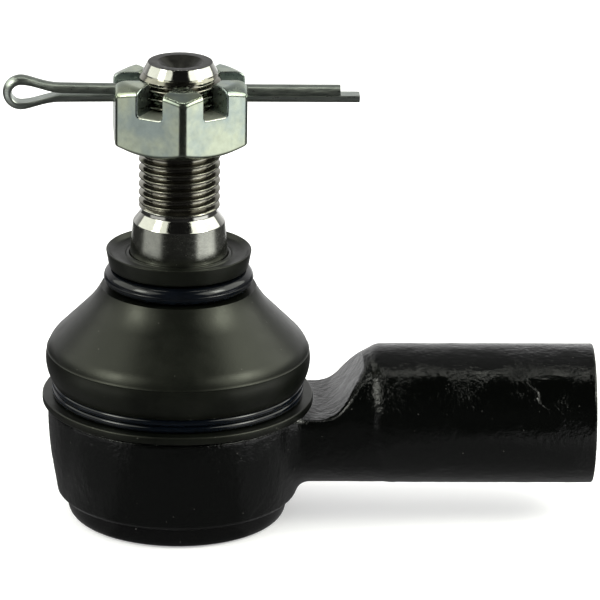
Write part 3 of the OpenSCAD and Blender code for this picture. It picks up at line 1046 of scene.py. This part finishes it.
def plane(name, half, z, material):
    """A level square of the studio, with sizes in metres."""
    mesh = bpy.data.meshes.new(name)
    corners = [(-half, -half, z), (half, -half, z), (half, half, z), (-half, half, z)]
    mesh.from_pydata(corners, [], [(0, 1, 2, 3)])
    mesh.materials.append(material)
    sheet = bpy.data.objects.new(name, mesh)
    bpy.context.scene.collection.objects.link(sheet)
    return sheet


def make_floor():
    """The floor that the camera sees, without its glare in the object's gloss."""
    floor = plane("floor", 3, 0, floor_white())
    floor.visible_glossy = False


def azimuth_ramp(f, vector, *stops):
    """A ramp by direction around Z: 0 at the front, 1 at the back, either side."""
    flat = f.add("VectorMath", operation="MULTIPLY")
    f.join(vector, flat.inputs[0])
    flat.inputs[1].default_value = (1, 1, 0)
    unit = f.add("VectorMath", operation="NORMALIZE")
    f.join(flat.outputs[0], unit.inputs[0])
    parts = f.add("SeparateXYZ")
    f.join(unit.outputs[0], parts.inputs[0])
    spread = f.add("MapRange")
    f.join(parts.outputs["Y"], spread.inputs["Value"])
    spread.inputs["From Min"].default_value = -1
    return f.ramp(spread.outputs[0], *stops)


def make_table_glow():
    """What glossy faces see of the table: dim close by and at the front, lit behind and further off."""
    f = Finish("table_glow", (1, 1, 1))
    far = azimuth_ramp(f, f.coords, (0.12, 0.02), (0.16, 1.0), (0.5, 1.0), (0.57, 0.06),
                       (0.92, 0.06), (0.97, 0.9))
    side = f.ramp(f.above("X", -120, 160), (0.0, 0.7), (1.0, 1.4))
    length = f.add("VectorMath", operation="LENGTH")
    f.join(f.coords, length.inputs[0])
    reach = f.add("MapRange")
    f.join(length.outputs["Value"], reach.inputs["Value"])
    reach.inputs["From Min"].default_value = 0.06
    reach.inputs["From Max"].default_value = 0.15
    lit = f.blend(1.0, far, side, "MULTIPLY")
    under = f.ramp(f.above("Y", -9, -6), (0.0, 0.09), (1.0, 0.11))
    lit = f.blend(reach.outputs[0], f.blend(0.07, under, lit, "ADD"), lit)
    emit = f.add("Emission")
    f.join(lit, emit.inputs["Color"])
    f.join(emit.outputs[0], f.tree.nodes["Material Output"].inputs["Surface"])
    f.tree.nodes.remove(f.shader)
    f.material.cycles.emission_sampling = "NONE"
    glow = plane("table_glow", 3, -0.0005, f.material)
    glow.visible_camera = glow.visible_diffuse = glow.visible_shadow = False


def make_world():
    """White around the object; its gloss sees a white backdrop behind it and little else."""
    world = bpy.data.worlds.new("studio")
    bpy.context.scene.world = world
    world.use_nodes = True
    world.cycles.sampling_method = "NONE"
    f = Graph(world.node_tree, "Generated")
    out = f.tree.nodes["Background"]
    around = azimuth_ramp(f, f.coords, (0.1, 0.045), (0.3, 0.1), (0.8, 0.3), (0.93, 1.0))
    parts = f.add("SeparateXYZ")
    f.join(f.coords, parts.inputs[0])
    height = f.ramp(parts.outputs["Z"], (0.3, 0.75), (0.5, 0.38), (0.7, 0.22), (1.0, 0.2))
    gloss = f.blend(1.0, around, height, "MULTIPLY")
    path = f.add("LightPath")
    f.join(f.blend(path.outputs["Is Glossy Ray"], (1, 1, 1), gloss), out.inputs["Color"])


make_floor()
make_table_glow()
make_world()
panel("key_left", -85, 38, 1.44, 0.66, 1.35)
panel("key_right", 85, 38, 1.44, 0.66, 2.1)
panel("core_left", -68, 34, 0.26, 0.3, 6.5)
panel("core_right", 70, 36, 0.26, 0.3, 7.5)
panel("overhead", 0, 88, 0.9, 0.024, 9.0)


# ---- Camera ----


def make_camera():
    """At the photograph's viewing angle, far off, with a long lens."""
    azimuth, elevation, roll, distance = -2.03, 19.28, math.radians(0.88), 0.8029
    aim = Vector((17.74, 0, 32.93)) * MM
    back = direction(azimuth, elevation)
    right = direction(azimuth + 90, 0)
    up = back.cross(right)
    turned_right = right * math.cos(roll) + up * math.sin(roll)
    turned_up = up * math.cos(roll) - right * math.sin(roll)
    data = bpy.data.cameras.new("camera")
    data.sensor_width = 36
    data.lens = 330
    camera = bpy.data.objects.new("camera", data)
    facing = Matrix((turned_right, turned_up, back)).transposed()
    camera.matrix_world = Matrix.Translation(aim + back * distance) @ facing.to_4x4()
    bpy.context.scene.collection.objects.link(camera)
    bpy.context.scene.camera = camera


make_camera()
bpy.context.scene.view_settings.view_transform = "Standard"
